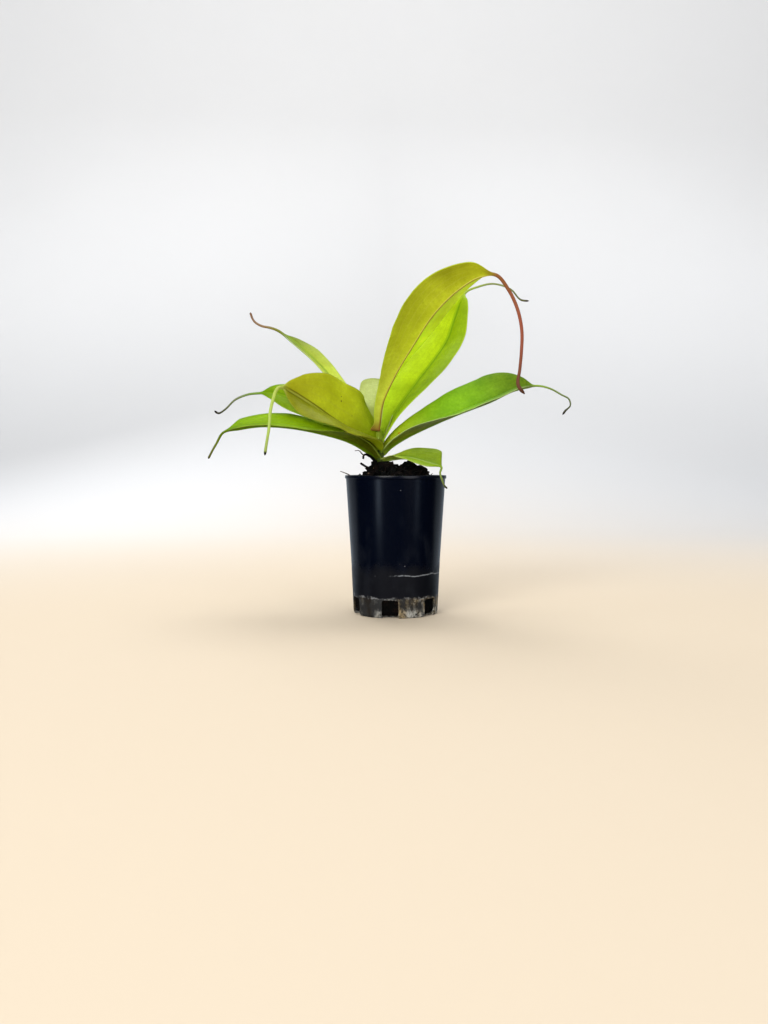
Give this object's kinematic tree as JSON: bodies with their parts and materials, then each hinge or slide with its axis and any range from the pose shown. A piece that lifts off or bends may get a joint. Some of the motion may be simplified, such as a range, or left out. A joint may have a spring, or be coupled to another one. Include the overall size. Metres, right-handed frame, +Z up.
{
  "type": "potted pitcher plant",
  "caption": "Young tropical pitcher plant in a tall dark nursery pot: strap-shaped leaves fan out from a short stem and end in thin tendrils.",
  "frame": {"origin": "centre of the pot's flat base, on the surface it stands on", "axes": "+Z up, +X to the right and +Y away as seen from the front, where the small leaf hangs over the rim at the right"},
  "size_m": [0.2674, 0.1741, 0.2547],
  "materials": {
    "pot": "glossy blue-black plastic, dusty low down, with a pale mineral deposit round the foot",
    "medium": "matt, dark, moist bark and peat with a few pale specks",
    "stem": "smooth dark green",
    "leaf_arching": "waxy olive yellow with a salmon-red tendril",
    "leaf_upright": "waxy bright yellow-green",
    "leaf_right": "waxy deep green with a lighter base and one orange spot",
    "leaf_small": "waxy mid green",
    "leaf_broad": "waxy olive with small dark specks and a pale tendril with a black tip",
    "leaf_slim": "waxy bright green",
    "leaf_low": "waxy bright green with a darker underside",
    "leaf_rising": "waxy pale green",
    "leaf_back": "waxy pale green"
  },
  "bodies": {
    "root": {"pot": "pot", "medium": "medium", "stem": "stem", "leaf_arching": "leaf_arching", "leaf_upright": "leaf_upright", "leaf_right": "leaf_right", "leaf_small": "leaf_small", "leaf_broad": "leaf_broad", "leaf_slim": "leaf_slim", "leaf_low": "leaf_low", "leaf_rising": "leaf_rising", "leaf_back": "leaf_back"}
  },
  "joints": []
}
